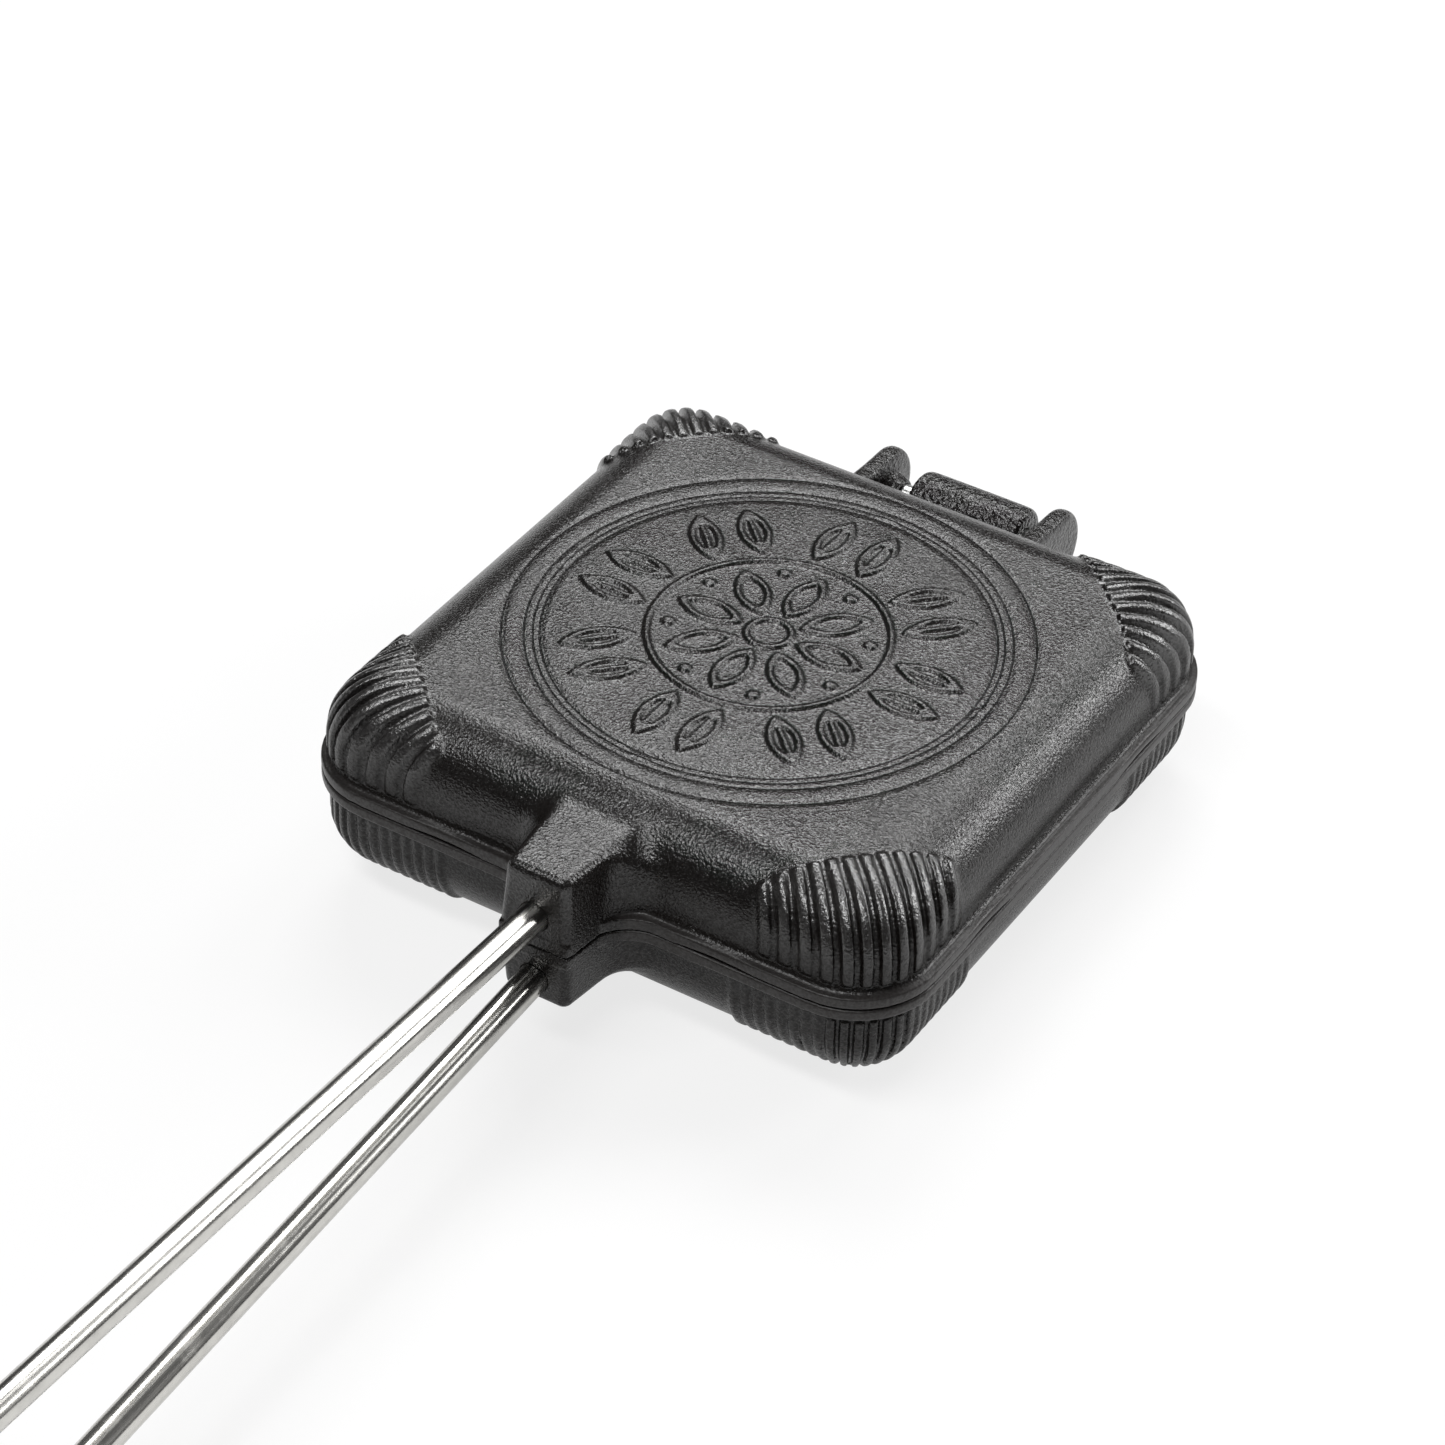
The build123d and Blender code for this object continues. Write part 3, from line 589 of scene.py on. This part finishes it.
def lay_floor():
    """A floor that falls gently on both sides of a rounded crest.

    The iron leans on the back edge of its base and on the lower grip, which hangs below the base.
    The floor falls alike behind that edge, where the upper half lies when it is opened flat.
    """
    grip_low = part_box("lower_grip")[0]
    slope = -grip_low.z / (BASE_EDGE_Y - grip_low.y - GRIP_TOUCH)
    points, faces = [], []
    for away in (-FLOOR_REACH, -CROWN, -CROWN / 2, 0.0, CROWN / 2, CROWN, FLOOR_REACH):
        bend = max(abs(away), (away * away / CROWN + CROWN) / 2) if abs(away) < CROWN else abs(away)
        points += [(side * FLOOR_REACH, away, -slope * bend) for side in (-1, 1)]
    for row in range(0, len(points) - 2, 2):
        faces.append((row, row + 1, row + 3, row + 2))
    mesh = bpy.data.meshes.new("floor")
    mesh.from_pydata(points, [], faces)
    mesh.polygons.foreach_set("use_smooth", [True] * len(faces))
    floor = bpy.data.objects.new("floor", mesh)
    floor.location = (0, BASE_EDGE_Y, -FLOOR_GAP)
    bpy.context.scene.collection.objects.link(floor)
    dress(floor, pale_floor())


def studio_world():
    """Faint even light from all round."""
    world = bpy.data.worlds.new("studio")
    bpy.context.scene.world = world
    world.use_nodes = True
    tree = world.node_tree
    tree.nodes.clear()
    out = tree.nodes.new("ShaderNodeOutputWorld")
    sky = tree.nodes.new("ShaderNodeBackground")
    sky.inputs["Color"].default_value = (1, 1, 1, 1)
    sky.inputs["Strength"].default_value = WORLD_LEVEL
    tree.links.new(sky.outputs["Background"], out.inputs["Surface"])


def lamp(name, place, size, power):
    """A soft rectangular lamp, in metres and watts, that looks at the iron."""
    data = bpy.data.lights.new(name, "AREA")
    data.shape = "RECTANGLE"
    data.size, data.size_y = size
    data.energy = power
    obj = bpy.data.objects.new(name, data)
    obj.location = place
    obj.rotation_mode = "QUATERNION"
    obj.rotation_quaternion = (LAMP_AIM - Vector(place)).to_track_quat("-Z", "Y")
    bpy.context.scene.collection.objects.link(obj)


place_camera()
lay_floor()
studio_world()
lamp("key", place=(-0.8, 1.3, 2.0), size=(1.1, 0.9), power=30.0)
lamp("back", place=(0.33, 1.62, 1.74), size=(0.8, 0.8), power=15.0)
lamp("side", place=(1.49, 1.61, 0.98), size=(0.8, 0.8), power=24.0)
lamp("front", place=(-0.15, -0.93, 1.96), size=(1.5, 0.35), power=27.0)

bpy.context.scene.view_settings.view_transform = "Standard"
